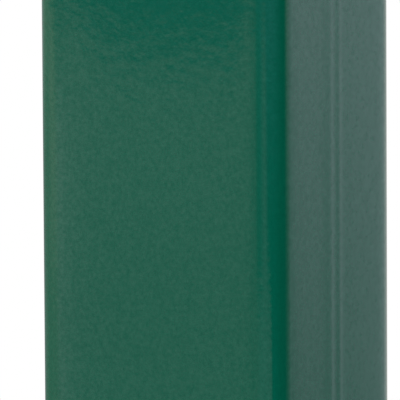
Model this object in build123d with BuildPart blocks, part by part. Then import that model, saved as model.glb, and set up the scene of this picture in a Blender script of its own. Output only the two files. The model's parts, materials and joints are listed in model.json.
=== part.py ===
"""Fold-down delineator post of square steel tube, about 1 m tall.

A 70 x 70 mm welded tube stands between two lugs on a bolt-down base plate and folds
forward about one hinge bolt. A triangular-key lock inside the tube turns a cam behind
a keeper on the plate, which holds the post upright. A prismatic reflector is riveted
to the front face and another to the rear face, and a moulded cap closes the top.

Millimetres. +Z is up, the front is -Y, and the origin is on the ground, in the middle
of the base plate, which is also on the axis of the upright post. The post is drawn
upright and unlocked.
"""

import os

from build123d import *

# ---- Driving dimensions ---------------------------------------------------------------

# Post: cold-formed square tube, EN 10219 70 x 70 x 4, outer corner radius of two walls
POST_SIDE = 70.0
POST_WALL = 4.0
POST_RADIUS = 2 * POST_WALL
POST_BOTTOM = 18.0
POST_TOP = 994.0

# Weld seam of the tube, along the middle of its +X face
SEAM_PITCH = 4.9  # between the crests of the two ridges beside the groove
SEAM_RIDGE_RADIUS = 1.6
SEAM_RIDGE_HEIGHT = 0.15
SEAM_GROOVE_RADIUS = 3.1
SEAM_GROOVE_DEPTH = 0.2

# Base plate and what is welded to it
PLATE_WIDTH = 160.0
PLATE_LENGTH = 200.0
PLATE_THICKNESS = 8.0
PLATE_RADIUS = 12.0
ANCHOR_RADIUS = 7.0
ANCHOR_PITCH_X = 120.0
ANCHOR_PITCH_Y = 160.0
LUG_THICKNESS = 8.0
LUG_LENGTH = 90.0
LUG_SKIRT = 12.0  # height of the lug's straight ends
LUG_NOSE_RADIUS = 22.0
LUG_GAP = 1.5  # between the tube's side and each lug
STOP_THICKNESS = 8.0
STOP_HEIGHT = 16.0
STOP_GAP = 0.4
KEEPER_FRONT = 14.0  # Y of the keeper's front face
KEEPER_THICKNESS = 6.0
KEEPER_WIDTH = 30.0
KEEPER_HEIGHT = 59.0
KEEPER_CHAMFER = 5.0
WELD_LEG = 5.0
WELD_BULGE = 0.57 * WELD_LEG  # how far the middle of the bead stands from both faces
EDGE_BREAK = 1.0

# Hinge, an M12 bolt across the lugs near the front of the post
PIVOT_Y = -15.0
PIVOT_Z = 45.0
BOLT_RADIUS = 6.0
BOLT_FLATS = 18.0
BOLT_HEAD_HEIGHT = 7.5
BOLT_THREAD_SHOWN = 2.0
NUT_HEX_HEIGHT = 9.0
NUT_COLLAR_HEIGHT = 3.0
NUT_COLLAR_RADIUS = 8.0
WASHER_RADIUS = 12.0
WASHER_THICKNESS = 2.5
THRUST_RADIUS = 11.0
SLEEVE_RADIUS = 10.0
RUNNING_GAP = 0.06
ASSEMBLY_GAP = 0.1
FACE_GAP = 0.05

# Rubber buffer that the folded post rests on
BUFFER_Y = -83.0
BUFFER_FOOT_RADIUS = 12.5
BUFFER_TOP_RADIUS = 10.0
BUFFER_HEIGHT = 16.5
BUFFER_ROUNDING = 2.0
BUFFER_BORE_DEPTH = 9.0
SCREW_RADIUS = 3.0
SCREW_HEAD_RADIUS = 5.5
SCREW_HEAD_HEIGHT = 4.0
SCREW_HEAD_ROUNDING = 1.2
SOCKET_FLATS = 4.0
SOCKET_DEPTH = 2.2

# Triangular-key lock, on a Y axis through the front wall
LOCK_Z = 86.0
BARREL_RADIUS = 13.0
BARREL_PROUD = 2.0
BARREL_ROUNDING = 0.8
BARREL_NOSE_LENGTH = 20.0
BARREL_TAIL_RADIUS = 10.0
BARREL_END = 16.0  # Y of the barrel's inner end
RECESS_RADIUS = 11.0
RECESS_FLOOR = -20.0  # Y of the recess floor
KEY_CIRCLE = 8.2  # radius through the corners of the triangular head
KEY_TIP = -29.0  # Y of the head's end, inside the recess
KEY_CORNER_RADIUS = 1.4
COLLAR_RADIUS = 10.6
COLLAR_THICKNESS = 3.0
SPINDLE_RADIUS = 6.0
SQUARE_SIDE = 8.0
CAM_FACE = 20.5  # Y of the cam's front face, just behind the keeper
CAM_THICKNESS = 5.0
CAM_WIDTH = 16.0
CAM_REACH = 29.0
STUD_RADIUS = 4.0
STUD_END = 30.2
CAM_NUT_FLATS = 13.0
CAM_NUT_HEIGHT = 4.0
SPRING_RADIUS = 9.8
SPRING_BORE = 6.4
SPRING_SHEET = 0.5

# Reflectors, one on the front face and one on the rear face
REFLECTOR_Z = 860.0
FLANGE_WIDTH = 48.0
FLANGE_HEIGHT = 176.0
FLANGE_THICKNESS = 2.2
FLANGE_RADIUS = 8.0
RIM_WIDTH = 46.0
RIM_HEIGHT = 144.0
RIM_DEPTH = 6.5
RIM_WALL = 2.5
RIM_RADIUS = 5.0
RIM_ROUNDING = 0.9
LENS_GAP = 0.2
LENS_FACE = 6.0
LENS_ROUNDING = 0.6
RIVET_PITCH = 160.0
RIVET_RADIUS = 2.0
RIVET_HEAD_RADIUS = 4.0
RIVET_HEAD_HEIGHT = 1.4
RIVET_BULB_RADIUS = 3.4
RIVET_BULB_LENGTH = 4.0

# Moulded cap
CAP_EDGE = 3.0
CAP_ROUNDING = 1.2
CAP_RISE = 3.0
CAP_SHOULDER = 64.0  # side of the square where the low pyramid begins
CAP_CROWN = 10.0
CAP_CROWN_RADIUS = 1.0
SKIRT_DEPTH = 24.0
SKIRT_GAP = 0.25
SKIRT_WALL = 2.5
SKIRT_INNER_RADIUS = 1.0
FIN_COUNT = 3
FIN_PITCH = 7.0
FIN_THICKNESS = 1.2

# ---- Worked-out dimensions and planes -------------------------------------------------

half_post = POST_SIDE / 2
bore_side = POST_SIDE - 2 * POST_WALL
bore_radius = POST_RADIUS - POST_WALL
lug_inner = half_post + LUG_GAP
lug_outer = lug_inner + LUG_THICKNESS
washer_outer = lug_outer + WASHER_THICKNESS
stop_rear = -half_post - STOP_GAP
stop_front = stop_rear - STOP_THICKNESS
keeper_rear = KEEPER_FRONT + KEEPER_THICKNESS
rivet_offsets = (-RIVET_PITCH / 2, RIVET_PITCH / 2)

front_face = Plane.XZ.offset(half_post)
rear_face = Plane(origin=(0, half_post, 0), x_dir=(-1, 0, 0), z_dir=(0, 1, 0))
lock_axis = Axis((0, 0, LOCK_Z), (0, 1, 0))
hinge_axis = Axis((0, PIVOT_Y, PIVOT_Z), (1, 0, 0))


def across(x):
    """Plane square to the hinge bolt at x, with local x along +Y and local y up."""
    return Plane.YZ.offset(x)


def facing_front(y):
    """Plane at this Y that looks forward, with local x along +X and local y up."""
    return Plane.XZ.offset(-y)


pieces = {}

# ---- Base ------------------------------------------------------------------------------

with BuildPart() as base_plate:
    with BuildSketch():
        RectangleRounded(PLATE_WIDTH, PLATE_LENGTH, PLATE_RADIUS)
    extrude(amount=PLATE_THICKNESS)
    chamfer(base_plate.edges().group_by(Axis.Z)[-1], EDGE_BREAK)
    with BuildSketch() as plate_holes:
        with GridLocations(ANCHOR_PITCH_X, ANCHOR_PITCH_Y, 2, 2):
            Circle(ANCHOR_RADIUS)
        with Locations((0, BUFFER_Y)):
            Circle(SCREW_RADIUS + FACE_GAP)
    extrude(amount=PLATE_THICKNESS, mode=Mode.SUBTRACT)
pieces["base_plate"] = base_plate


def hinge_lug(inner_x):
    """Side plate with a rounded nose around the hinge bolt, its inner face at inner_x."""
    with BuildPart() as lug:
        with BuildSketch(across(inner_x)) as outline:
            with Locations((0, PLATE_THICKNESS + LUG_SKIRT / 2)):
                Rectangle(LUG_LENGTH, LUG_SKIRT)
            with Locations((PIVOT_Y, PIVOT_Z)):
                Circle(LUG_NOSE_RADIUS)
            make_hull(outline.edges())
        extrude(amount=LUG_THICKNESS if inner_x > 0 else -LUG_THICKNESS)
        outer_face = lug.faces().sort_by(Axis.X)[-1 if inner_x > 0 else 0]
        rim = outer_face.edges().filter_by_position(
            Axis.Z, PLATE_THICKNESS, PIVOT_Z + LUG_NOSE_RADIUS, (False, True)
        )
        chamfer(rim, EDGE_BREAK)
        with BuildSketch(across(0)):
            with Locations((PIVOT_Y, PIVOT_Z)):
                Circle(BOLT_RADIUS + ASSEMBLY_GAP)
        extrude(amount=POST_SIDE, both=True, mode=Mode.SUBTRACT)
    return lug


pieces["hinge_lug_left"] = hinge_lug(-lug_inner)
pieces["hinge_lug_right"] = hinge_lug(lug_inner)

with BuildPart() as stop_bar:
    with Locations((0, (stop_rear + stop_front) / 2, PLATE_THICKNESS)):
        Box(
            POST_SIDE,
            STOP_THICKNESS,
            STOP_HEIGHT,
            align=(Align.CENTER, Align.CENTER, Align.MIN),
        )
    chamfer(stop_bar.edges().group_by(Axis.Z)[-1], EDGE_BREAK)
pieces["stop_bar"] = stop_bar

with BuildPart() as lock_keeper:
    with Locations((0, KEEPER_FRONT, PLATE_THICKNESS)):
        Box(
            KEEPER_WIDTH,
            KEEPER_THICKNESS,
            KEEPER_HEIGHT,
            align=(Align.CENTER, Align.MIN, Align.MIN),
        )
    chamfer(
        lock_keeper.faces().sort_by(Axis.Z)[-1].edges().filter_by(Axis.Y), KEEPER_CHAMFER
    )
pieces["lock_keeper"] = lock_keeper


def weld_plane(x, y, outward):
    """Section plane of a fillet weld on the base plate, local x outward and local y up."""
    return Plane(
        origin=(x, y, PLATE_THICKNESS),
        x_dir=outward,
        z_dir=Vector(outward).cross(Vector(0, 0, 1)),
    )


weld_runs = (
    (weld_plane(-lug_outer, 0, (-1, 0, 0)), LUG_LENGTH),
    (weld_plane(lug_outer, 0, (1, 0, 0)), LUG_LENGTH),
    (weld_plane(0, stop_front, (0, -1, 0)), POST_SIDE),
    (weld_plane(0, KEEPER_FRONT, (0, -1, 0)), KEEPER_WIDTH),
    (weld_plane(0, keeper_rear, (0, 1, 0)), KEEPER_WIDTH),
)

with BuildPart() as weld_beads:
    for section, length in weld_runs:
        with BuildSketch(section):
            with BuildLine():
                Line((0, 0), (WELD_LEG, 0))
                ThreePointArc((WELD_LEG, 0), (WELD_BULGE, WELD_BULGE), (0, WELD_LEG))
                Line((0, WELD_LEG), (0, 0))
            make_face()
        extrude(amount=length / 2, both=True)
pieces["weld_beads"] = weld_beads

# ---- Hinge -----------------------------------------------------------------------------


def hexagon(seat_x, height):
    """Hexagon around the hinge axis on the plane x = seat_x, its outer corners bevelled."""
    flat_radius = BOLT_FLATS / 2
    corner_radius = BOLT_FLATS / 3**0.5
    bevel = (corner_radius - flat_radius) / 3**0.5
    outward = 1 if height > 0 else -1
    with BuildSketch(across(seat_x)) as section:
        with Locations((PIVOT_Y, PIVOT_Z)):
            RegularPolygon(flat_radius, 6, major_radius=False)
    extrude(section.sketch, amount=height)
    with BuildSketch(Plane.XZ.offset(-PIVOT_Y)) as turning:
        with BuildLine():
            Polyline(
                (seat_x, PIVOT_Z),
                (seat_x, PIVOT_Z + corner_radius),
                (seat_x + height - outward * bevel, PIVOT_Z + corner_radius),
                (seat_x + height, PIVOT_Z + flat_radius),
                (seat_x + height, PIVOT_Z),
                close=True,
            )
        make_face()
    revolve(turning.sketch, axis=hinge_axis, mode=Mode.INTERSECT)


def ring(start_x, end_x, outer, inner):
    """Flat ring or tube around the hinge axis, from start_x to end_x."""
    with BuildSketch(across(start_x)) as section:
        with Locations((PIVOT_Y, PIVOT_Z)):
            Circle(outer)
            Circle(inner, mode=Mode.SUBTRACT)
    extrude(section.sketch, amount=end_x - start_x)


with BuildPart() as hinge_bolt:
    hexagon(-washer_outer, -BOLT_HEAD_HEIGHT)
    with BuildSketch(across(-washer_outer)):
        with Locations((PIVOT_Y, PIVOT_Z)):
            Circle(BOLT_RADIUS)
    extrude(
        amount=2 * washer_outer + NUT_HEX_HEIGHT + NUT_COLLAR_HEIGHT + BOLT_THREAD_SHOWN
    )
    chamfer(
        hinge_bolt.faces().sort_by(Axis.X)[-1].edges(),
        EDGE_BREAK,
    )
pieces["hinge_bolt"] = hinge_bolt

with BuildPart() as hinge_nut:
    hexagon(washer_outer, NUT_HEX_HEIGHT)
    with BuildSketch(across(washer_outer)):
        with Locations((PIVOT_Y, PIVOT_Z)):
            Circle(NUT_COLLAR_RADIUS)
    extrude(amount=NUT_HEX_HEIGHT + NUT_COLLAR_HEIGHT)
    fillet(hinge_nut.edges().group_by(Axis.X)[-1], EDGE_BREAK)
    with BuildSketch(across(washer_outer)):
        with Locations((PIVOT_Y, PIVOT_Z)):
            Circle(BOLT_RADIUS + FACE_GAP)
    extrude(amount=NUT_HEX_HEIGHT + NUT_COLLAR_HEIGHT, mode=Mode.SUBTRACT)
pieces["hinge_nut"] = hinge_nut

with BuildPart() as bolt_washers:
    ring(lug_outer, washer_outer, WASHER_RADIUS, BOLT_RADIUS + ASSEMBLY_GAP)
    ring(-washer_outer, -lug_outer, WASHER_RADIUS, BOLT_RADIUS + ASSEMBLY_GAP)
pieces["bolt_washers"] = bolt_washers

with BuildPart() as thrust_washers:
    thrust_bore = BOLT_RADIUS + ASSEMBLY_GAP
    ring(half_post + FACE_GAP, lug_inner - FACE_GAP, THRUST_RADIUS, thrust_bore)
    ring(-lug_inner + FACE_GAP, -half_post - FACE_GAP, THRUST_RADIUS, thrust_bore)
pieces["thrust_washers"] = thrust_washers

with BuildPart() as hinge_sleeve:
    ring(-half_post, half_post, SLEEVE_RADIUS, BOLT_RADIUS + RUNNING_GAP)
pieces["hinge_sleeve"] = hinge_sleeve

# ---- Rest for the folded post ----------------------------------------------------------

with BuildPart() as rest_buffer:
    with Locations((0, BUFFER_Y, PLATE_THICKNESS)):
        Cone(
            BUFFER_FOOT_RADIUS,
            BUFFER_TOP_RADIUS,
            BUFFER_HEIGHT,
            align=(Align.CENTER, Align.CENTER, Align.MIN),
        )
    fillet(rest_buffer.edges().group_by(Axis.Z)[-1], BUFFER_ROUNDING)
    with Locations((0, BUFFER_Y, PLATE_THICKNESS + BUFFER_HEIGHT)):
        CounterBoreHole(
            SCREW_RADIUS + ASSEMBLY_GAP,
            SCREW_HEAD_RADIUS + ASSEMBLY_GAP,
            BUFFER_BORE_DEPTH,
        )
pieces["rest_buffer"] = rest_buffer

screw_seat = PLATE_THICKNESS + BUFFER_HEIGHT - BUFFER_BORE_DEPTH

with BuildPart() as buffer_screw:
    with BuildSketch(Plane.XY.offset(EDGE_BREAK)):
        with Locations((0, BUFFER_Y)):
            Circle(SCREW_RADIUS)
    extrude(amount=screw_seat - EDGE_BREAK)
    with BuildSketch(Plane.XY.offset(screw_seat)):
        with Locations((0, BUFFER_Y)):
            Circle(SCREW_HEAD_RADIUS)
    extrude(amount=SCREW_HEAD_HEIGHT)
    fillet(buffer_screw.edges().group_by(Axis.Z)[-1], SCREW_HEAD_ROUNDING)
    with BuildSketch(Plane.XY.offset(screw_seat + SCREW_HEAD_HEIGHT)):
        with Locations((0, BUFFER_Y)):
            RegularPolygon(SOCKET_FLATS / 2, 6, major_radius=False)
    extrude(amount=-SOCKET_DEPTH, mode=Mode.SUBTRACT)
pieces["buffer_screw"] = buffer_screw

# ---- Post ------------------------------------------------------------------------------

with BuildPart() as post_tube:
    with BuildSketch(Plane.XY.offset(POST_BOTTOM)):
        RectangleRounded(POST_SIDE, POST_SIDE, POST_RADIUS)
        RectangleRounded(bore_side, bore_side, bore_radius, mode=Mode.SUBTRACT)
        with Locations((half_post - SEAM_RIDGE_RADIUS + SEAM_RIDGE_HEIGHT, 0)):
            with GridLocations(1, SEAM_PITCH, 1, 2):
                Circle(SEAM_RIDGE_RADIUS)
        with Locations((half_post + SEAM_GROOVE_RADIUS - SEAM_GROOVE_DEPTH, 0)):
            Circle(SEAM_GROOVE_RADIUS, mode=Mode.SUBTRACT)
    extrude(amount=POST_TOP - POST_BOTTOM)
    with BuildSketch(across(0)):
        with Locations((PIVOT_Y, PIVOT_Z)):
            Circle(SLEEVE_RADIUS + FACE_GAP)
    extrude(amount=POST_SIDE, both=True, mode=Mode.SUBTRACT)
    with BuildSketch(front_face):
        with Locations((0, LOCK_Z)):
            Circle(BARREL_RADIUS + FACE_GAP)
    extrude(amount=-2 * POST_WALL, mode=Mode.SUBTRACT)
    with BuildSketch(facing_front(0)):
        with Locations(*[(0, REFLECTOR_Z + offset) for offset in rivet_offsets]):
            Circle(RIVET_RADIUS + FACE_GAP)
    extrude(amount=POST_SIDE, both=True, mode=Mode.SUBTRACT)
pieces["post_tube"] = post_tube

with BuildPart() as top_cap:
    with BuildSketch(Plane.XY.offset(POST_TOP)):
        RectangleRounded(POST_SIDE, POST_SIDE, POST_RADIUS)
    extrude(amount=CAP_EDGE)
    fillet(top_cap.edges().group_by(Axis.Z)[-1], CAP_ROUNDING)
    with BuildSketch(Plane.XY.offset(POST_TOP + CAP_EDGE)):
        RectangleRounded(CAP_SHOULDER, CAP_SHOULDER, POST_RADIUS - CAP_EDGE)
    with BuildSketch(Plane.XY.offset(POST_TOP + CAP_EDGE + CAP_RISE)):
        RectangleRounded(CAP_CROWN, CAP_CROWN, CAP_CROWN_RADIUS)
    loft()
    skirt_side = bore_side - 2 * SKIRT_GAP
    skirt_inner = skirt_side - 2 * SKIRT_WALL
    with BuildSketch(Plane.XY.offset(POST_TOP)):
        RectangleRounded(skirt_side, skirt_side, bore_radius - SKIRT_GAP)
        RectangleRounded(
            skirt_inner, skirt_inner, SKIRT_INNER_RADIUS, mode=Mode.SUBTRACT
        )
    extrude(amount=-SKIRT_DEPTH)
    fin_side = bore_side - 2 * FACE_GAP
    for fin in range(1, FIN_COUNT + 1):
        with BuildSketch(Plane.XY.offset(POST_TOP - fin * FIN_PITCH)):
            RectangleRounded(fin_side, fin_side, bore_radius - FACE_GAP)
            RectangleRounded(
                skirt_inner, skirt_inner, SKIRT_INNER_RADIUS, mode=Mode.SUBTRACT
            )
        extrude(amount=FIN_THICKNESS)
pieces["top_cap"] = top_cap

# ---- Lock ------------------------------------------------------------------------------

barrel_mouth = -half_post - BARREL_PROUD
barrel_shoulder = barrel_mouth + BARREL_NOSE_LENGTH
barrel_bore = SPINDLE_RADIUS + RUNNING_GAP

with BuildPart() as lock_barrel:
    with BuildSketch(Plane.YZ):
        with BuildLine():
            Polyline(
                (barrel_mouth, LOCK_Z + RECESS_RADIUS),
                (barrel_mouth, LOCK_Z + BARREL_RADIUS),
                (barrel_shoulder, LOCK_Z + BARREL_RADIUS),
                (barrel_shoulder, LOCK_Z + BARREL_TAIL_RADIUS),
                (BARREL_END, LOCK_Z + BARREL_TAIL_RADIUS),
                (BARREL_END, LOCK_Z + barrel_bore),
                (RECESS_FLOOR, LOCK_Z + barrel_bore),
                (RECESS_FLOOR, LOCK_Z + RECESS_RADIUS),
                close=True,
            )
        make_face()
    revolve(axis=lock_axis)
    fillet(lock_barrel.edges().group_by(Axis.Y)[0], BARREL_ROUNDING)
pieces["lock_barrel"] = lock_barrel

collar_rear = RECESS_FLOOR - ASSEMBLY_GAP
collar_front = collar_rear - COLLAR_THICKNESS

with BuildPart() as lock_spindle:
    with BuildSketch(facing_front(collar_front)):
        with Locations((0, LOCK_Z)):
            key = RegularPolygon(KEY_CIRCLE, 3, rotation=90)
        fillet(key.vertices(), KEY_CORNER_RADIUS)
    extrude(amount=collar_front - KEY_TIP)
    for start, end, radius in (
        (collar_front, collar_rear, COLLAR_RADIUS),
        (collar_rear, CAM_FACE - ASSEMBLY_GAP, SPINDLE_RADIUS),
        (CAM_FACE + CAM_THICKNESS, STUD_END, STUD_RADIUS),
    ):
        with BuildSketch(facing_front(start)):
            with Locations((0, LOCK_Z)):
                Circle(radius)
        extrude(amount=start - end)
    with BuildSketch(facing_front(CAM_FACE - ASSEMBLY_GAP)):
        with Locations((0, LOCK_Z)):
            Rectangle(SQUARE_SIDE, SQUARE_SIDE)
    extrude(amount=-CAM_THICKNESS - ASSEMBLY_GAP)
pieces["lock_spindle"] = lock_spindle

with BuildPart() as lock_cam:
    with BuildSketch(facing_front(CAM_FACE)):
        arm = CAM_REACH - CAM_WIDTH / 2
        with Locations((arm / 2, LOCK_Z)):
            SlotCenterToCenter(arm, CAM_WIDTH)
        with Locations((0, LOCK_Z)):
            square_hole = SQUARE_SIDE + 2 * ASSEMBLY_GAP
            Rectangle(square_hole, square_hole, mode=Mode.SUBTRACT)
    extrude(amount=-CAM_THICKNESS)
pieces["lock_cam"] = lock_cam

with BuildPart() as cam_nut:
    with BuildSketch(facing_front(CAM_FACE + CAM_THICKNESS + FACE_GAP)):
        with Locations((0, LOCK_Z)):
            RegularPolygon(CAM_NUT_FLATS / 2, 6, major_radius=False)
            Circle(STUD_RADIUS + FACE_GAP, mode=Mode.SUBTRACT)
    extrude(amount=-CAM_NUT_HEIGHT)
pieces["cam_nut"] = cam_nut

spring_middle = (BARREL_END + CAM_FACE) / 2

with BuildPart() as lock_disc_springs:
    for side, outer_y in (
        (-1, BARREL_END + ASSEMBLY_GAP),
        (1, CAM_FACE - ASSEMBLY_GAP),
    ):
        inner_y = spring_middle + side * ASSEMBLY_GAP
        with BuildSketch(Plane.YZ):
            with BuildLine():
                Polyline(
                    (outer_y, LOCK_Z + SPRING_RADIUS),
                    (inner_y + side * SPRING_SHEET, LOCK_Z + SPRING_BORE),
                    (inner_y, LOCK_Z + SPRING_BORE),
                    (outer_y - side * SPRING_SHEET, LOCK_Z + SPRING_RADIUS),
                    close=True,
                )
            make_face()
        revolve(axis=lock_axis)
pieces["lock_disc_springs"] = lock_disc_springs

# ---- Reflectors ------------------------------------------------------------------------


def reflector_housing(face):
    """Flanged tray that lies on one face of the post."""
    with BuildPart() as housing:
        with BuildSketch(face):
            with Locations((0, REFLECTOR_Z)):
                RectangleRounded(FLANGE_WIDTH, FLANGE_HEIGHT, FLANGE_RADIUS)
            with Locations(*[(0, REFLECTOR_Z + offset) for offset in rivet_offsets]):
                Circle(RIVET_RADIUS + FACE_GAP, mode=Mode.SUBTRACT)
        extrude(amount=FLANGE_THICKNESS)
        with BuildSketch(face):
            with Locations((0, REFLECTOR_Z)):
                RectangleRounded(RIM_WIDTH, RIM_HEIGHT, RIM_RADIUS)
                RectangleRounded(
                    RIM_WIDTH - 2 * RIM_WALL,
                    RIM_HEIGHT - 2 * RIM_WALL,
                    RIM_RADIUS - RIM_WALL,
                    mode=Mode.SUBTRACT,
                )
        extrude(amount=RIM_DEPTH)
        fillet(housing.edges().group_by(Axis(face.origin, face.z_dir))[-1], RIM_ROUNDING)
    return housing


def reflector_lens(face):
    """Prismatic lens block that fills the tray inside its rim."""
    with BuildPart() as lens:
        with BuildSketch(face.offset(FLANGE_THICKNESS)):
            with Locations((0, REFLECTOR_Z)):
                RectangleRounded(
                    RIM_WIDTH - 2 * RIM_WALL - 2 * LENS_GAP,
                    RIM_HEIGHT - 2 * RIM_WALL - 2 * LENS_GAP,
                    RIM_RADIUS - RIM_WALL - LENS_GAP,
                )
        extrude(amount=LENS_FACE - FLANGE_THICKNESS)
        fillet(lens.edges().group_by(Axis(face.origin, face.z_dir))[-1], LENS_ROUNDING)
    return lens


for name, face in (("front", front_face), ("rear", rear_face)):
    pieces[f"{name}_reflector_housing"] = reflector_housing(face)
    pieces[f"{name}_reflector_lens"] = reflector_lens(face)

with BuildPart() as reflector_rivets:
    for face in (front_face, rear_face):
        for offset in rivet_offsets:
            rivet_z = REFLECTOR_Z + offset
            for start, length, radius in (
                (FLANGE_THICKNESS, RIVET_HEAD_HEIGHT, RIVET_HEAD_RADIUS),
                (-POST_WALL, POST_WALL + FLANGE_THICKNESS, RIVET_RADIUS),
                (-POST_WALL - RIVET_BULB_LENGTH, RIVET_BULB_LENGTH, RIVET_BULB_RADIUS),
            ):
                with BuildSketch(face.offset(start)):
                    with Locations((0, rivet_z)):
                        Circle(radius)
                extrude(amount=length)
pieces["reflector_rivets"] = reflector_rivets

# ---- Write one STEP file for each piece ------------------------------------------------

os.makedirs("parts", exist_ok=True)
for label, piece in pieces.items():
    piece.part.label = label
    export_step(piece.part, f"parts/{label}.step")
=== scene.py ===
import json
import math

import bmesh
import bpy
from mathutils import Matrix, Vector


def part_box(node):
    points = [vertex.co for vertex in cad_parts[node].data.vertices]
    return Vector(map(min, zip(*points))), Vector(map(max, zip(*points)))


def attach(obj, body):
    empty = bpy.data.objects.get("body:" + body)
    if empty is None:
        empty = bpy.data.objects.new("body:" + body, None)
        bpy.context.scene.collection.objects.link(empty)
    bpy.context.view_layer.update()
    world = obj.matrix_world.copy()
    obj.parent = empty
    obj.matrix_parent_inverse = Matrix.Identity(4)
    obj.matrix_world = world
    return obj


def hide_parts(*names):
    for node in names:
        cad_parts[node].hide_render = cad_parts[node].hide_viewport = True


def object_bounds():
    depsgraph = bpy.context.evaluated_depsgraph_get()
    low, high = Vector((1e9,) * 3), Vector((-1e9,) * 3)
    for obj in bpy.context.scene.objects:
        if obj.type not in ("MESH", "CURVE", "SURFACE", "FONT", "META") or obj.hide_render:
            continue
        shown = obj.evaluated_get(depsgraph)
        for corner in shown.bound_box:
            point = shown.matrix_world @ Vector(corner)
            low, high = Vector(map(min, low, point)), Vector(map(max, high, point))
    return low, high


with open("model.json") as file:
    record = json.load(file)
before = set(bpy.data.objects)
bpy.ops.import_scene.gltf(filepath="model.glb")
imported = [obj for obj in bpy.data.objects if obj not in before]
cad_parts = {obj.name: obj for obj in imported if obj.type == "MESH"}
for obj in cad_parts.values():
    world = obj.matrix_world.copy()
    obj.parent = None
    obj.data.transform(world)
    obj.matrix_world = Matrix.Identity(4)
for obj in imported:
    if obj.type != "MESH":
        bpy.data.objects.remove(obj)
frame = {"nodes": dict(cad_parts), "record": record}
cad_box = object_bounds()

MM = 0.001

# ---- Node helpers ------------------------------------------------------------------------

# Span that most values of a noise texture lie in
NOISE_SPAN = (0.3, 0.7)


class Graph:
    """A node tree, with one method for each kind of node that the shaders below use."""

    def __init__(self, tree):
        self.tree = tree

    def node(self, kind, **settings):
        made = self.tree.nodes.new(kind)
        for name, value in settings.items():
            setattr(made, name, value)
        return made

    def feed(self, socket, value):
        """Links value to the socket if it is another node's output, and else sets it."""
        if isinstance(value, bpy.types.NodeSocket):
            self.tree.links.new(value, socket)
        else:
            socket.default_value = value

    def math(self, operation, a, b=0.0):
        made = self.node("ShaderNodeMath", operation=operation)
        self.feed(made.inputs[0], a)
        self.feed(made.inputs[1], b)
        return made.outputs[0]

    def remap(self, value, low, high, to_low=0.0, to_high=1.0, smooth=False):
        made = self.node("ShaderNodeMapRange")
        made.interpolation_type = "SMOOTHSTEP" if smooth else "LINEAR"
        for socket, each in zip(made.inputs, (value, low, high, to_low, to_high)):
            self.feed(socket, each)
        return made.outputs[0]

    def vary(self, noise, to_low, to_high):
        """Spreads a noise over the span between two values."""
        return self.remap(noise, *NOISE_SPAN, to_low, to_high)

    def around(self, value, middle, near, far, level=1.0):
        """The level within near of the middle, from where it fades to nothing at far."""
        away = self.math("ABSOLUTE", self.math("SUBTRACT", value, middle))
        return self.remap(away, near, far, level, 0.0)

    def both(self, a, b):
        """Product of two values."""
        return self.math("MULTIPLY", a, b)

    def noise(self, where, scale, detail=2.0, roughness=0.5):
        made = self.node("ShaderNodeTexNoise")
        self.feed(made.inputs["Vector"], where)
        made.inputs["Scale"].default_value = scale
        made.inputs["Detail"].default_value = detail
        made.inputs["Roughness"].default_value = roughness
        return made.outputs["Fac"]

    def stretch(self, where, scale):
        made = self.node("ShaderNodeMapping")
        self.feed(made.inputs["Vector"], where)
        made.inputs["Scale"].default_value = scale
        return made.outputs[0]

    def mix(self, factor, a, b, blend="MIX"):
        """Mixes two colours."""
        made = self.node("ShaderNodeMix", data_type="RGBA", blend_type=blend)
        self.feed(made.inputs[0], factor)
        self.feed(made.inputs[6], a)
        self.feed(made.inputs[7], b)
        return made.outputs[2]

    def bump(self, height, distance, normal=None):
        made = self.node("ShaderNodeBump")
        made.inputs["Distance"].default_value = distance
        self.feed(made.inputs["Height"], height)
        if normal is not None:
            self.feed(made.inputs["Normal"], normal)
        return made.outputs[0]

    def ramp(self, value, stops):
        """Grey ramp through (position, level) stops."""
        made = self.node("ShaderNodeValToRGB")
        self.feed(made.inputs[0], value)
        elements = made.color_ramp.elements
        while len(elements) > 1:
            elements.remove(elements[-1])
        for i, (position, level) in enumerate(stops):
            element = elements[0] if i == 0 else elements.new(position)
            element.position = position
            element.color = rgb(level, level, level)
        return made.outputs[0]


def rgb(r, g, b):
    return (r, g, b, 1.0)


def grey(level):
    return rgb(level, level, level)


def new_material(name, **sockets):
    """Material with a Principled shader, and the graph to dress it with."""
    made = bpy.data.materials.new(name)
    made.use_nodes = True
    shader = made.node_tree.nodes["Principled BSDF"]
    for socket, value in sockets.items():
        shader.inputs[socket.replace("_", " ")].default_value = value
    graph = Graph(made.node_tree)
    where = graph.node("ShaderNodeTexCoord").outputs["Object"]
    return made, graph, shader, where


def new_object(name, mesh):
    """Object in the scene from a bmesh, which is freed."""
    data = bpy.data.meshes.new(name)
    mesh.to_mesh(data)
    mesh.free()
    made = bpy.data.objects.new(name, data)
    bpy.context.scene.collection.objects.link(made)
    return made


# ---- Materials ---------------------------------------------------------------------------
# A noise's scale is in features per metre, and a bump's distance is in metres.

PLASTIC_IOR = 1.5
RUBBER_IOR = 1.45

COAT_COLOUR = rgb(0.0008, 0.079, 0.0448)
COAT_SPECK_TONE = 0.14  # how far a speck is lighter or darker than the coat
COAT_SPECK_GLOSS = (0.1, 0.9)
COAT_GRAIN_STRETCH = (1.0, 0.5, 1.0)  # longer across the side faces
PEEL_DEPTH = 0.011 * MM
FINE_PEEL_DEPTH = 0.0005 * MM

SCRATCH_GRAIN = (900.0, 9000.0, 4000.0)
SCRATCH_DEPTH = 0.008 * MM
SPARK_GRAIN_DEPTH = 0.07 * MM
RUBBER_GRAIN_DEPTH = 0.04 * MM

ZINC, NICKEL, ALUMINIUM = rgb(0.56, 0.58, 0.6), rgb(0.62, 0.58, 0.52), rgb(0.8, 0.8, 0.81)
CLEAR_BORDER, CLEAR_PRISMS = rgb(0.62, 0.65, 0.68), rgb(0.8, 0.82, 0.85)
RED_BORDER, RED_PRISMS = rgb(0.42, 0.006, 0.006), rgb(0.6, 0.003, 0.004)


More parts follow.
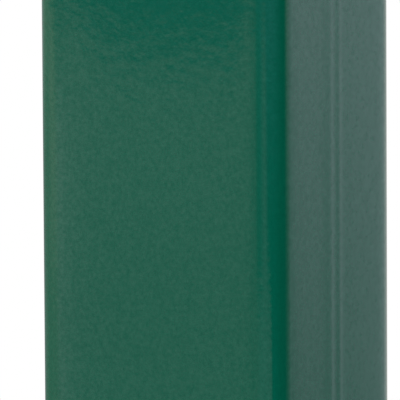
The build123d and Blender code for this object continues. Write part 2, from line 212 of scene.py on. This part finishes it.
def powder_coat():
    """Glossy moss green powder coat with a fine orange peel."""
    made, g, shader, where = new_material("powder_coat", IOR=PLASTIC_IOR)
    cloud = g.noise(where, scale=9.0, detail=3.0)
    where = g.stretch(where, COAT_GRAIN_STRETCH)
    speck = g.noise(where, scale=1050.0, detail=3.0, roughness=0.6)
    speck_tone = g.remap(speck, 0.0, 1.0, -COAT_SPECK_TONE, COAT_SPECK_TONE)
    tone = g.math("ADD", g.vary(cloud, 0.97, 1.03), speck_tone)
    g.feed(shader.inputs["Base Color"], g.mix(1.0, COAT_COLOUR, tone, "MULTIPLY"))
    g.feed(shader.inputs["Specular IOR Level"], g.remap(speck, 0.0, 1.0, *COAT_SPECK_GLOSS))
    sheen = g.noise(where, scale=60.0, detail=3.0)
    g.feed(shader.inputs["Roughness"], g.vary(sheen, 0.035, 0.055))
    peel = g.bump(g.noise(where, scale=360.0), PEEL_DEPTH)
    fine = g.bump(g.noise(where, scale=1300.0, detail=1.0), FINE_PEEL_DEPTH, peel)
    g.feed(shader.inputs["Normal"], fine)
    return made


def plated_steel(name, colour, roughness):
    """Bare or plated metal with a soft cloudy sheen and fine scratches."""
    made, g, shader, where = new_material(name, Metallic=1.0)
    cloud = g.noise(where, scale=220.0, detail=4.0, roughness=0.6)
    scratch = g.noise(g.stretch(where, SCRATCH_GRAIN), scale=1.0)
    tone = g.vary(cloud, 0.82, 1.05)
    g.feed(shader.inputs["Base Color"], g.mix(1.0, colour, tone, "MULTIPLY"))
    g.feed(shader.inputs["Roughness"], g.vary(cloud, roughness + 0.1, roughness))
    g.feed(shader.inputs["Normal"], g.bump(scratch, SCRATCH_DEPTH))
    return made


def moulded_plastic():
    """Black moulding with a fine spark-eroded grain."""
    made, g, shader, where = new_material("black_moulding", IOR=PLASTIC_IOR)
    grain = g.noise(where, scale=1500.0, detail=3.0, roughness=0.6)
    cloud = g.noise(where, scale=45.0, detail=3.0)
    tone = g.both(g.vary(cloud, 0.011, 0.017), g.vary(grain, 0.8, 1.2))
    g.feed(shader.inputs["Base Color"], tone)
    g.feed(shader.inputs["Roughness"], g.vary(cloud, 0.46, 0.56))
    g.feed(shader.inputs["Normal"], g.bump(grain, SPARK_GRAIN_DEPTH))
    return made


def buffer_rubber():
    """Matt black rubber."""
    made, g, shader, where = new_material("buffer_rubber", IOR=RUBBER_IOR)
    grain = g.noise(where, scale=1400.0, detail=3.0, roughness=0.6)
    cloud = g.noise(where, scale=90.0, detail=3.0)
    g.feed(shader.inputs["Base Color"], g.vary(cloud, 0.012, 0.024))
    g.feed(shader.inputs["Roughness"], g.vary(grain, 0.7, 0.85))
    g.feed(shader.inputs["Normal"], g.bump(grain, RUBBER_GRAIN_DEPTH))
    return made


def reflector_plastic(name, colour, metallic, outward):
    """Reflector plastic: what lies under it glints, and its top is smooth and clear."""
    made, g, shader, where = new_material(
        name, Metallic=metallic, IOR=PLASTIC_IOR, Coat_Weight=1.0, Coat_Roughness=0.03
    )
    tone = g.vary(g.noise(where, scale=300.0), 0.96, 1.03)
    g.feed(shader.inputs["Base Color"], g.mix(1.0, colour, tone, "MULTIPLY"))
    g.feed(shader.inputs["Roughness"], g.vary(g.noise(where, scale=90.0), 0.16, 0.24))
    turn = g.node("ShaderNodeVectorTransform", vector_type="NORMAL")
    turn.convert_from, turn.convert_to = "OBJECT", "WORLD"
    turn.inputs[0].default_value = (0.0, outward, 0.0)
    g.feed(shader.inputs["Coat Normal"], turn.outputs[0])
    return made


# ---- Post tube ---------------------------------------------------------------------------
# Its outline is worked out in mm.

WALL = 4.0
HOLE_GAP = 0.05 * MM
HOLE_STEPS = 96
SLIVER = 0.004 * MM
SEAM_FACE_STEPS, FACE_STEPS, CORNER_STEPS = 240, 40, 24

# Slopes across the weld seam: (middle from the middle of the face, half-width, slope)
SEAM_SLOPES = (
    (-6.8, 2.6, 0.018),
    (-3.7, 0.9, -0.028),
    (-2.4, 0.8, -0.005),
    (-0.75, 1.0, 0.026),
    (1.2, 0.9, -0.025),
    (2.8, 1.2, -0.006),
    (17.0, 8.0, -0.007),
)

# Slope of a face where its corner starts, and how far in from the corner it fades
CROWN = (0.02, 4.0)
SEAM_FACE_CROWNS = ((0.034, 1.8), (0.045, 2.6))
SLOPE_STEP = 0.01  # a slope is measured over this distance
CORNER_PULL = 0.5523  # puts the handles of a curve where it is nearly a quarter circle


def seam_height(t):
    """Height of the tube's side face at t from its middle: two scarfed steps by a groove."""
    return sum(
        slope * width * math.sqrt(math.pi) / 2 * (1 + math.erf((t - middle) / width))
        for middle, width, slope in SEAM_SLOPES
    )


def painted_relief(turn, t, flat):
    """Height of the painted surface over its nominal plane at t from the face's middle."""
    if turn % 4:  # a face without the seam
        slope, reach = CROWN
        seam = 0.0
    else:
        slope, reach = SEAM_FACE_CROWNS[t > 0]
        seam = seam_height(t)
    return seam - reach * slope * math.exp(-(flat - abs(t)) / reach)


def plain_relief(turn, t, flat):
    """The bore is flat."""
    return 0.0


def corner_points(start, start_slope, end, end_slope, radius):
    """Points between two faces, on a curve that runs on from both without a kink."""
    pull = CORNER_PULL * radius
    handles = (
        start,
        (start[0] + pull * start_slope, start[1] + pull),
        (end[0] + pull, end[1] - pull * end_slope),
        end,
    )
    points = []
    for i in range(1, CORNER_STEPS):
        u = i / CORNER_STEPS
        weights = ((1 - u) ** 3, 3 * u * (1 - u) ** 2, 3 * u * u * (1 - u), u ** 3)
        points.append(tuple(
            sum(weight * handle[axis] for weight, handle in zip(weights, handles))
            for axis in (0, 1)
        ))
    return points


def square_profile(side, radius, relief):
    """Outline of a square tube, anticlockwise from the low end of its +X face."""
    half = side / 2
    flat = half - radius
    points = []
    for turn in range(4):
        count = SEAM_FACE_STEPS if turn == 0 else FACE_STEPS
        rows = []
        for i in range(count + 1):
            t = -flat + 2 * flat * i / count
            rows.append((half + relief(turn, t, flat), t))
        last = relief(turn, flat, flat)
        first = relief(turn + 1, -flat, flat)
        rows += corner_points(
            (half + last, flat),
            (last - relief(turn, flat - SLOPE_STEP, flat)) / SLOPE_STEP,
            (flat, half + first),
            (relief(turn + 1, SLOPE_STEP - flat, flat) - first) / SLOPE_STEP,
            radius,
        )
        c, s = (1, 0, -1, 0)[turn], (0, 1, 0, -1)[turn]
        points += [(x * c - y * s, x * s + y * c) for x, y in rows]
    return points


def join_rings(mesh, first, second):
    """Adds the band of faces between two rings of points."""
    for i in range(len(first)):
        mesh.faces.new((first[i - 1], first[i], second[i], second[i - 1]))


def tube_mesh():
    """Closed mesh of the tube before its holes are cut."""
    low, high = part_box("post_tube")
    side = (high.y - low.y) / MM
    bore = side - 2 * WALL
    mesh = bmesh.new()
    rings = []
    outer = square_profile(side, 2 * WALL, painted_relief)
    for points in (outer, square_profile(bore, WALL, plain_relief)):
        for z in (low.z, high.z):
            rings.append([mesh.verts.new((x * MM, y * MM, z)) for x, y in points])
    outer_low, outer_high, inner_low, inner_high = rings
    join_rings(mesh, outer_low, outer_high)
    join_rings(mesh, outer_high, inner_high)
    join_rings(mesh, inner_high, inner_low)
    join_rings(mesh, inner_low, outer_low)
    bmesh.ops.recalc_face_normals(mesh, faces=mesh.faces)
    return new_object("post_tube_painted", mesh)


def drill(obj, centre, radius, axis, length):
    """Cuts a round hole of this length through obj, centred on a point."""
    mesh = bmesh.new()
    turn = axis.to_track_quat("Z", "Y")
    bmesh.ops.create_cone(
        mesh,
        cap_ends=True,
        segments=HOLE_STEPS,
        radius1=radius,
        radius2=radius,
        depth=length,
        matrix=Matrix.Translation(centre) @ turn.to_matrix().to_4x4(),
    )
    cutter = new_object("cutter", mesh)
    cut = obj.modifiers.new("cut", "BOOLEAN")
    cut.object = cutter
    cut.solver = "EXACT"
    solid = obj.evaluated_get(bpy.context.evaluated_depsgraph_get())
    drilled = bpy.data.meshes.new_from_object(solid)
    obj.modifiers.clear()
    obj.data = drilled
    bpy.data.objects.remove(cutter)


def clean(obj):
    """Merges points that a cut leaves almost in one place, and splits faces into triangles."""
    mesh = bmesh.new()
    mesh.from_mesh(obj.data)
    bmesh.ops.remove_doubles(mesh, verts=mesh.verts, dist=SLIVER)
    bmesh.ops.dissolve_degenerate(mesh, edges=mesh.edges, dist=SLIVER)
    bmesh.ops.triangulate(mesh, faces=mesh.faces)
    bmesh.ops.dissolve_degenerate(mesh, edges=mesh.edges, dist=SLIVER)
    mesh.to_mesh(obj.data)
    mesh.free()


def rivet_heights():
    """Heights of each reflector's two rivets; the box of the rivets is one head wide."""
    low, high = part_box("reflector_rivets")
    return low.z + high.x, high.z - high.x


def build_tube():
    """Fine mesh of the post tube with its weld seam and its holes."""
    tube = tube_mesh()
    low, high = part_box("post_tube")
    across, along = Vector((1, 0, 0)), Vector((0, 1, 0))
    through_wall, through = 3 * WALL * MM, 2 * (high.y - low.y)
    barrel_low, barrel_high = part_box("lock_barrel")
    mouth = Vector((0, low.y, (barrel_low.z + barrel_high.z) / 2))
    drill(tube, mouth, (barrel_high.x - barrel_low.x) / 2 + HOLE_GAP, along, through_wall)
    sleeve_low, sleeve_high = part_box("hinge_sleeve")
    sleeve_radius = (sleeve_high.z - sleeve_low.z) / 2
    drill(tube, (sleeve_low + sleeve_high) / 2, sleeve_radius + HOLE_GAP, across, through)
    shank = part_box("reflector_rivets")[1].x / 2
    for z in rivet_heights():
        drill(tube, Vector((0, 0, z)), shank + HOLE_GAP, along, through)
    clean(tube)
    return tube


# ---- Weld beads --------------------------------------------------------------------------
# Sizes are in mm.

BEAD_LEG = 5.0
BEAD_BULGE = 0.57  # distance of a bead's middle from both plates, as a part of its leg
BEAD_WANDER = 0.03  # how far a leg's length varies, as a part of it
WANDER_TURN, WANDER_QUICKEN = 0.37, 0.013
BEAD_END = 2.6
BEAD_END_SWELL = 0.08
BEAD_STEP = 0.3
BEAD_ARC_STEPS = 12
RIPPLE_PITCH = 2.5
RIPPLE_DEPTH = 0.22
RIPPLE_LEAD = 1.1  # how far the middle of a ripple runs ahead of its ends


def bead_leg(along, swell):
    """Length of a bead's leg at this distance from its start: it wanders a little."""
    wave = math.sin(WANDER_TURN * along + WANDER_QUICKEN * along * along)
    return BEAD_LEG * swell * (1 - BEAD_WANDER + BEAD_WANDER * wave)


def bead_section(along, length):
    """Points (outward, up) across a bead at this distance from its start."""
    left = min(along, length - along) / BEAD_END
    swell = 1.0 if left >= 1 else max(BEAD_END_SWELL, math.sqrt(1 - (1 - left) ** 2))
    leg = bead_leg(along, swell)
    points = [(0.0, 0.0)]
    for i in range(BEAD_ARC_STEPS + 1):
        u = i / BEAD_ARC_STEPS
        pull = 4 * u * (1 - u)
        phase = (along + RIPPLE_LEAD * pull) / RIPPLE_PITCH
        wave = 0.5 + 0.5 * math.cos(2 * math.pi * phase)
        dip = RIPPLE_DEPTH * swell * wave * wave * math.sqrt(pull)
        bow = (BEAD_BULGE - 0.5) * leg * pull - dip * math.sqrt(0.5)
        points.append((max(leg * (1 - u) + bow, 0.0), max(leg * u + bow, 0.0)))
    return points


def lay_bead(mesh, start, along, outward, length):
    """Adds one closed bead to the mesh, lying on the plate from start."""
    up = Vector((0, 0, 1))
    count = round(length / BEAD_STEP)
    rings = []
    for i in range(count + 1):
        s = length * i / count
        rings.append([
            mesh.verts.new(start + (along * s + outward * out + up * rise) * MM)
            for out, rise in bead_section(s, length)
        ])
    for first, second in zip(rings, rings[1:]):
        join_rings(mesh, first, second)
    mesh.faces.new(rings[0])
    mesh.faces.new(rings[-1][::-1])


def build_welds():
    """Rippled fillet welds beside both lugs, the stop bar and the keeper."""
    x, y = Vector((1, 0, 0)), Vector((0, 1, 0))
    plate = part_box("base_plate")[1].z
    mesh = bmesh.new()
    for node, sides in (
        ("hinge_lug_left", (-x,)),
        ("hinge_lug_right", (x,)),
        ("stop_bar", (-y,)),
        ("lock_keeper", (-y, y)),
    ):
        low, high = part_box(node)
        for outward in sides:
            along = x if outward.x == 0 else y
            start = Vector((low.x, low.y, plate))
            if outward.x > 0:
                start.x = high.x
            if outward.y > 0:
                start.y = high.y
            length = (high - low).dot(along) / MM
            lay_bead(mesh, start, along, outward, length)
    bmesh.ops.recalc_face_normals(mesh, faces=mesh.faces)
    return new_object("weld_beads_rippled", mesh)


# ---- Reflector prisms --------------------------------------------------------------------
# Sizes are in mm.

CELL = 2.6  # across the flats of one cell
CELL_RADIUS = CELL / math.sqrt(3)
CELL_ROW = 1.5 * CELL_RADIUS
CELL_RELIEF = 0.17  # height of one step between a cell's middle, near and far corners
LENS_BORDER = 1.3
PANEL_GAP = 1.0
PANELS = 3
PRISM_CREASE = 3  # degrees


def cell_field(width, height, flipped):
    """Field of cube-corner cells that covers a rectangle; local y is outward."""
    field = bmesh.new()
    shared = {}

    def corner(x, z, step):
        level = (2 - step if flipped else step) * CELL_RELIEF
        key = (round(x, 3), round(z, 3))
        if key not in shared:
            shared[key] = field.verts.new((x, level, z))
        return shared[key]

    columns = int(width / CELL) + 2
    rows = int(height / CELL_ROW) + 2
    for row in range(-rows // 2, rows // 2 + 1):
        for column in range(-columns // 2, columns // 2 + 1):
            x = (column + 0.5 * (row % 2)) * CELL
            z = row * CELL_ROW
            hub = corner(x, z, 0)
            rim = []
            for k in range(6):
                a = math.radians(30 + 60 * k)
                spoke = (CELL_RADIUS * math.cos(a), CELL_RADIUS * math.sin(a))
                rim.append(corner(x + spoke[0], z + spoke[1], 1 + k % 2))
            for k in (0, 2, 4):
                field.faces.new((hub, rim[k], rim[k + 1], rim[(k + 2) % 6]))
    return field


def trim(field, width, height):
    """Cuts the field to a rectangle."""
    for normal, reach in (
        (Vector((1, 0, 0)), width / 2),
        (Vector((-1, 0, 0)), width / 2),
        (Vector((0, 0, 1)), height / 2),
        (Vector((0, 0, -1)), height / 2),
    ):
        bmesh.ops.bisect_plane(
            field,
            geom=field.verts[:] + field.edges[:] + field.faces[:],
            plane_co=normal * reach,
            plane_no=normal,
            clear_outer=True,
        )


def close_back(field):
    """Adds side walls and a back, so that the field is a closed solid."""
    outline = [edge for edge in field.edges if edge.is_boundary]
    walls = bmesh.ops.extrude_edge_only(field, edges=outline)["geom"]
    for vert in walls:
        if isinstance(vert, bmesh.types.BMVert):
            vert.co.y = -CELL_RELIEF / 2
    back = [edge for edge in walls if isinstance(edge, bmesh.types.BMEdge)]
    bmesh.ops.contextual_create(field, geom=back)


def add_panel(mesh, width, height, middle, flipped):
    """Adds one closed panel of cells to the mesh, with its middle at this height."""
    field = cell_field(width, height, flipped)
    trim(field, width, height)
    close_back(field)
    for vert in field.verts:
        vert.co.z += middle
    patch = bpy.data.meshes.new("patch")
    field.to_mesh(patch)
    field.free()
    mesh.from_mesh(patch)
    bpy.data.meshes.remove(patch)


def build_prisms(node, outward):
    """Three panels of fine cube-corner prisms on the face of one lens."""
    low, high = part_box(node)
    width = (high.x - low.x) / MM - 2 * LENS_BORDER
    total = (high.z - low.z) / MM - 2 * LENS_BORDER
    height = (total - (PANELS - 1) * PANEL_GAP) / PANELS
    mesh = bmesh.new()
    for i in range(PANELS):
        middle = (i - (PANELS - 1) / 2) * (height + PANEL_GAP)
        add_panel(mesh, width, height, middle, i % 2 == 1)
    face = low.y if outward < 0 else high.y
    centre = (low + high) / 2
    for vert in mesh.verts:
        x, y, z = vert.co
        vert.co = (centre.x + x * MM, face + outward * y * MM, centre.z + z * MM)
    mesh.normal_update()
    bmesh.ops.recalc_face_normals(mesh, faces=mesh.faces)
    return new_object(node + "_prisms", mesh)


# ---- Rivets ------------------------------------------------------------------------------

# Blind rivet, from the hollow of its head to its bulb: (radius, height above the flange) in mm
RIVET_PROFILE = (
    (0.0, 0.55), (0.85, 0.6), (0.95, 1.0), (1.1, 1.3), (1.35, 1.4), (1.9, 1.35), (2.5, 1.2),
    (3.1, 0.92), (3.6, 0.52), (3.9, 0.18), (4.0, 0.0), (2.0, 0.0), (2.0, -6.2), (3.1, -6.25),
    (3.4, -7.4), (3.2, -9.2), (2.3, -10.0), (1.0, -10.2), (0.0, -10.2),
)
RIVET_HEAD = 1.4
ROUND_STEPS = 48


def turn_on_lathe(mesh, profile, origin, outward):
    """Adds a closed round solid around the outward axis; its profile is in mm."""
    side = Vector((0, 0, 1))
    other = outward.cross(side)
    rings = []
    for radius, height in profile:
        middle = origin + outward * height * MM
        if radius == 0.0:
            rings.append([mesh.verts.new(middle)] * ROUND_STEPS)
            continue
        ring = []
        for i in range(ROUND_STEPS):
            a = 2 * math.pi * i / ROUND_STEPS
            spoke = side * math.cos(a) + other * math.sin(a)
            ring.append(mesh.verts.new(middle + spoke * radius * MM))
        rings.append(ring)
    for first, second in zip(rings, rings[1:]):
        for i in range(ROUND_STEPS):
            corners = (first[i - 1], first[i], second[i], second[i - 1])
            mesh.faces.new(tuple(dict.fromkeys(corners)))


def build_rivets():
    """Four domed blind rivets, two for each reflector."""
    low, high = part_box("reflector_rivets")
    mesh = bmesh.new()
    for outward, top in ((Vector((0, -1, 0)), low.y), (Vector((0, 1, 0)), high.y)):
        for z in rivet_heights():
            seat = Vector((0, top, z)) - outward * RIVET_HEAD * MM
            turn_on_lathe(mesh, RIVET_PROFILE, seat, outward)
    bmesh.ops.recalc_face_normals(mesh, faces=mesh.faces)
    return new_object("reflector_rivets_domed", mesh)


# ---- Dressing ----------------------------------------------------------------------------


def dress(obj, body, material, crease=30):
    """Gives a new piece its material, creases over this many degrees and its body."""
    obj.data.materials.clear()
    obj.data.materials.append(material)
    obj.data.shade_smooth()
    obj.data.set_sharp_from_angle(angle=math.radians(crease))
    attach(obj, body)


coat = powder_coat()
tube = build_tube()
dress(tube, "post", coat)
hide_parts("post_tube")

finishes = {
    "green_coat": coat,
    "zinc_plated_steel": plated_steel("zinc_plate", ZINC, roughness=0.28),
    "nickel_plated_lock": plated_steel("nickel_plate", NICKEL, roughness=0.18),
    "black_plastic": moulded_plastic(),
    "white_lens": reflector_plastic("clear_border", CLEAR_BORDER, metallic=0.1, outward=-1),
    "red_lens": reflector_plastic("red_border", RED_BORDER, metallic=0.0, outward=1),
    "rubber": buffer_rubber(),
    "aluminium_rivet": plated_steel("rivet_metal", ALUMINIUM, roughness=0.3),
}
for subpart in frame["record"]["subparts"]:
    for holder in frame["nodes"][subpart["node"]].material_slots:
        holder.material = finishes[subpart["material_slot"]]

welds = build_welds()
dress(welds, "base", coat)
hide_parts("weld_beads")
for node, outward, slot, colour, metallic in (
    ("front_reflector_lens", -1, "white_lens", CLEAR_PRISMS, 0.6),
    ("rear_reflector_lens", 1, "red_lens", RED_PRISMS, 0.85),
):
    prisms = build_prisms(node, outward)
    plastic = reflector_plastic(node + "_prisms", colour, metallic, outward)
    dress(prisms, "post", plastic, PRISM_CREASE)
rivets = build_rivets()
dress(rivets, "post", finishes["aluminium_rivet"])
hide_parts("reflector_rivets")

# ---- Floor -------------------------------------------------------------------------------

FLOOR_RADIUS = 8.0
FLOOR_STEPS = 96
FLOOR_TONE = 0.5
FLOOR_FADE = (0.7, 2.6)  # distances from the object where the floor starts and ends to turn white


def build_floor():
    """Pale round floor that turns white away from the object."""
    mesh = bmesh.new()
    bmesh.ops.create_circle(mesh, cap_ends=True, segments=FLOOR_STEPS, radius=FLOOR_RADIUS)
    floor = new_object("floor", mesh)
    floor.location.z = cad_box[0].z
    floor.visible_glossy = False
    made, g, shader, where = new_material(
        "pale_floor", Base_Color=grey(FLOOR_TONE), Roughness=0.9
    )
    out = made.node_tree.nodes["Material Output"]
    glow = g.node("ShaderNodeEmission")
    distance = g.node("ShaderNodeVectorMath", operation="LENGTH")
    g.feed(distance.inputs[0], where)
    blend = g.node("ShaderNodeMixShader")
    g.feed(blend.inputs[0], g.remap(distance.outputs["Value"], *FLOOR_FADE, smooth=True))
    g.feed(blend.inputs[1], shader.outputs[0])
    g.feed(blend.inputs[2], glow.outputs[0])
    g.feed(out.inputs["Surface"], blend.outputs[0])
    floor.data.materials.append(made)


# ---- Studio ------------------------------------------------------------------------------
# The room that the coat reflects. Directions are in degrees: the compass runs round the
# object from its front, and a height is over the horizon. A pair is a span, from where a
# part of the room starts to where it is complete. Levels and colours are brightness.

# Brightness of the room at the height of the post, by compass angle
STUDIO_LOW = {
    -180: 0.9, -165: 0.5, -124: 0.3, -103: 0.32, -84: 0.4, -69: 0.73, -64: 0.86, -50: 0.98,
    -31: 0.95, -28.2: 0.59, -26: 0.54, -13: 0.38, -3: 0.35, 1: 0.28, 7: 0.12, 13: 0.09,
    19: 0.11, 27: 0.24, 34: 0.32, 41: 0.17, 45: 0.05, 50: 0.0, 112: 0.0, 124: 0.13,
    136: 0.32, 145: 0.37, 149.5: 0.17, 151: 0.13, 153.5: 0.225, 155.5: 0.33, 162: 0.95,
    180: 0.9,
}

# Wall on the left: darker above, darker in a nook under it, lighter further round
WALL_START, WALL_END = (-60.0, -42.0), (-28.5, -30.5)
NOOK_START, NOOK_END = (-95.0, -75.0), (-36.0, -50.0)
FAR_WALL = (-62.0, -75.0)
WALL_TOP, NOOK_TOP, FAR_WALL_TOP = (-6.7, -5.5), (-7.3, -7.9), (-6.7, -5.3)
WALL_DIM, NOOK_DIM, FAR_WALL_GLOW = 0.42, 0.3, 0.22

# Pale panel on the right, that starts low and is complete higher up
FLANK_COMPASS, FLANK_CORE, FLANK_EDGE, FLANK_LEVEL = 132.0, 3.0, 15.0, 0.5
FLANK_CLIMB = (-8.2, -3.5)

# Ground, and the paler ledge along its edge in front
GROUND, GROUND_LEVEL, GROUND_SHARE = (-9.2, -15.0), 0.45, 0.6
LEDGE_TOP, LEDGE_FOOT, LEDGE_START, LEDGE_LEVEL = (-7.4, -8.2), (-12.0, -9.2), (-24.0, 0.0), 0.47
LEDGE_END_HEIGHTS, LEDGE_END_COMPASS, LEDGE_END_BLUR = (-7.0, -8.3), (42.0, 58.0), 4.0

# Dark opening in front, over a lintel that is lower for a short stretch
FRONT_CORE, FRONT_EDGE = 62.0, 80.0
FRONT_HEIGHTS, FRONT_SHADE = (-8.0, -6.0), (0.84, 1.07)
LINTEL_DROP, LINTEL_HEIGHTS, LINTEL_BLUR = (-28.9, -28.0), (-5.26, -5.74), 0.46
LINTEL_STEP, LINTEL_STEP_RISE = (-26.3, -24.5), 0.4
DARK_ROOM = rgb(0.09, 0.14, 0.25)

# Tints: (compass angle, degrees of full tint to each side, degrees to where it has faded)
TEAL_SIDE, TEAL = (45.0, 25.0, 45.0), rgb(0.0, 0.17, 0.17)
WARM_SIDE, WARM = (-75.0, 25.0, 42.0), rgb(1.0, 0.97, 0.78)
DUSK_SIDE, DUSK = (52.0, 10.0, 52.0), rgb(0.12, 0.36, 0.5)
COOL_SIDE, COOL = (148.0, 8.0, 24.0), rgb(1.0, 1.0, 1.17)
DUSK_HEIGHTS = (-7.2, -5.4)

# White backdrop behind the object, and the bright ceiling
BACKDROP, BACKDROP_RISE, BACKDROP_LEVEL = (138.0, 151.0), (-13.0, 1.0), 0.95
CEILING, CEILING_LEVEL = (12.0, 40.0), 1.5


def add_left_wall(g, room, compass, height):
    wall = g.both(g.remap(compass, *WALL_END), g.remap(compass, *WALL_START))
    above = g.both(wall, g.remap(height, *WALL_TOP, 0.0, WALL_DIM, smooth=True))
    nook = g.both(g.remap(compass, *NOOK_END), g.remap(compass, *NOOK_START))
    under = g.both(nook, g.remap(height, *NOOK_TOP, 0.0, NOOK_DIM, smooth=True))
    room = g.mix(g.math("ADD", above, under), room, grey(0.0))
    far_top = g.remap(height, *FAR_WALL_TOP, 0.0, FAR_WALL_GLOW, smooth=True)
    return g.mix(g.both(g.remap(compass, *FAR_WALL), far_top), room, grey(1.0))


def add_flank(g, room, compass, height):
    flank = g.around(compass, FLANK_COMPASS, FLANK_CORE, FLANK_EDGE, FLANK_LEVEL)
    return g.mix(g.both(flank, g.remap(height, *FLANK_CLIMB, smooth=True)), room, grey(1.0))


def add_ground(g, room, height):
    share = g.both(g.remap(height, *GROUND, smooth=True), GROUND_SHARE)
    return g.mix(share, room, grey(GROUND_LEVEL))


def add_ledge(g, room, compass, height):
    end = g.remap(height, *LEDGE_END_HEIGHTS, *LEDGE_END_COMPASS)
    past_end = g.math("SUBTRACT", compass, end)
    before_end = g.remap(past_end, LEDGE_END_BLUR, -LEDGE_END_BLUR, smooth=True)
    under_top = g.remap(height, *LEDGE_TOP, smooth=True)
    ledge = g.both(g.both(before_end, under_top), g.remap(compass, *LEDGE_START))
    return g.mix(g.both(ledge, g.remap(height, *LEDGE_FOOT)), room, grey(LEDGE_LEVEL))


def add_front(g, room, compass, height):
    """Shades the front, and puts the dark opening there."""
    lintel = g.math(
        "ADD",
        g.remap(compass, *LINTEL_DROP, *LINTEL_HEIGHTS),
        g.remap(compass, *LINTEL_STEP, 0.0, LINTEL_STEP_RISE),
    )
    over_lintel = g.math("SUBTRACT", height, lintel)
    opening = g.remap(over_lintel, -LINTEL_BLUR, LINTEL_BLUR, smooth=True)
    in_front = g.around(compass, 0.0, FRONT_CORE, FRONT_EDGE)
    shade = g.remap(height, *FRONT_HEIGHTS, *FRONT_SHADE)
    room = g.mix(in_front, room, shade, "MULTIPLY")
    return g.mix(g.both(opening, in_front), room, DARK_ROOM)


def add_backdrop(g, room, compass, height):
    behind = g.remap(g.math("ABSOLUTE", compass), *BACKDROP)
    share = g.both(g.remap(height, *BACKDROP_RISE, smooth=True), behind)
    return g.mix(share, room, grey(BACKDROP_LEVEL))


def build_studio():
    """Soft surroundings that the coat reflects; the camera itself sees plain white."""
    world = bpy.data.worlds.new("studio")
    bpy.context.scene.world = world
    world.use_nodes = True
    world.node_tree.nodes.clear()
    g = Graph(world.node_tree)
    way = g.node("ShaderNodeSeparateXYZ")
    g.feed(way.inputs[0], g.node("ShaderNodeTexCoord").outputs["Generated"])
    x, y, z = way.outputs
    compass = g.math("DEGREES", g.math("ARCTAN2", x, g.math("MULTIPLY", y, -1.0)))
    height = g.math("DEGREES", g.math("ARCSINE", z))
    stops = [((angle + 180) / 360, level) for angle, level in STUDIO_LOW.items()]
    room = g.ramp(g.remap(compass, -180.0, 180.0), stops)
    room = add_left_wall(g, room, compass, height)
    room = add_flank(g, room, compass, height)
    room = add_ground(g, room, height)
    room = add_ledge(g, room, compass, height)
    room = add_front(g, room, compass, height)
    room = g.mix(g.around(compass, *TEAL_SIDE), room, TEAL, "ADD")
    room = g.mix(g.around(compass, *WARM_SIDE), room, WARM, "MULTIPLY")
    dusk = g.both(g.around(compass, *DUSK_SIDE), g.remap(height, *DUSK_HEIGHTS))
    room = g.mix(dusk, room, DUSK, "LIGHTEN")
    room = add_backdrop(g, room, compass, height)
    room = g.mix(g.around(compass, *COOL_SIDE), room, COOL, "MULTIPLY")
    room = g.mix(g.remap(height, *CEILING, smooth=True), room, grey(CEILING_LEVEL))
    seen = g.mix(g.node("ShaderNodeLightPath").outputs["Is Camera Ray"], room, grey(1.0))
    background = g.node("ShaderNodeBackground")
    g.feed(background.inputs["Color"], seen)
    out = g.node("ShaderNodeOutputWorld")
    g.feed(out.inputs["Surface"], background.outputs[0])


# ---- Lamps and camera --------------------------------------------------------------------

LAMP_ELEVATION = 45
LAMP_DISTANCE = 3.0
LAMP_SIZE = 1.6

VIEW_AZIMUTH = 27.35
VIEW_ELEVATION = 7.0
VIEW_ROLL = -0.33
VIEW_DISTANCE = 1.7
VIEW_LENS = 594.5
VIEW_ASIDE = -0.00426

MID_HEIGHT = (cad_box[0].z + cad_box[1].z) / 2


def direction(azimuth, elevation):
    """Unit vector away from the object; azimuth 0 is the front."""
    a, e = math.radians(azimuth), math.radians(elevation)
    return Vector((math.sin(a) * math.cos(e), -math.cos(a) * math.cos(e), math.sin(e)))


def softbox(name, azimuth, power):
    """Square area light that looks at the middle of the post."""
    away = direction(azimuth, LAMP_ELEVATION)
    data = bpy.data.lights.new(name, "AREA")
    data.size = LAMP_SIZE
    data.energy = power
    lamp = bpy.data.objects.new(name, data)
    lamp.location = Vector((0, 0, MID_HEIGHT)) + away * LAMP_DISTANCE
    lamp.rotation_euler = away.to_track_quat("Z", "Y").to_euler()
    bpy.context.scene.collection.objects.link(lamp)


def build_camera():
    """Long lens on the middle of the plain shaft, a little from above."""
    back = direction(VIEW_AZIMUTH, VIEW_ELEVATION)
    right = direction(VIEW_AZIMUTH + 90, 0)
    data = bpy.data.cameras.new("camera")
    data.lens = VIEW_LENS
    data.sensor_width = 36.0
    data.clip_start = 0.05
    data.clip_end = 50.0
    camera = bpy.data.objects.new("camera", data)
    aim = Vector((0, 0, MID_HEIGHT)) + right * VIEW_ASIDE
    camera.location = aim + back * VIEW_DISTANCE
    roll = Matrix.Rotation(math.radians(VIEW_ROLL), 3, "Z")
    camera.rotation_euler = (back.to_track_quat("Z", "Y").to_matrix() @ roll).to_euler()
    bpy.context.scene.collection.objects.link(camera)
    bpy.context.scene.camera = camera


build_floor()
build_studio()
softbox("key_light", azimuth=0, power=42.0)
softbox("side_light", azimuth=-100, power=48.0)
build_camera()
bpy.context.scene.view_settings.view_transform = "Standard"
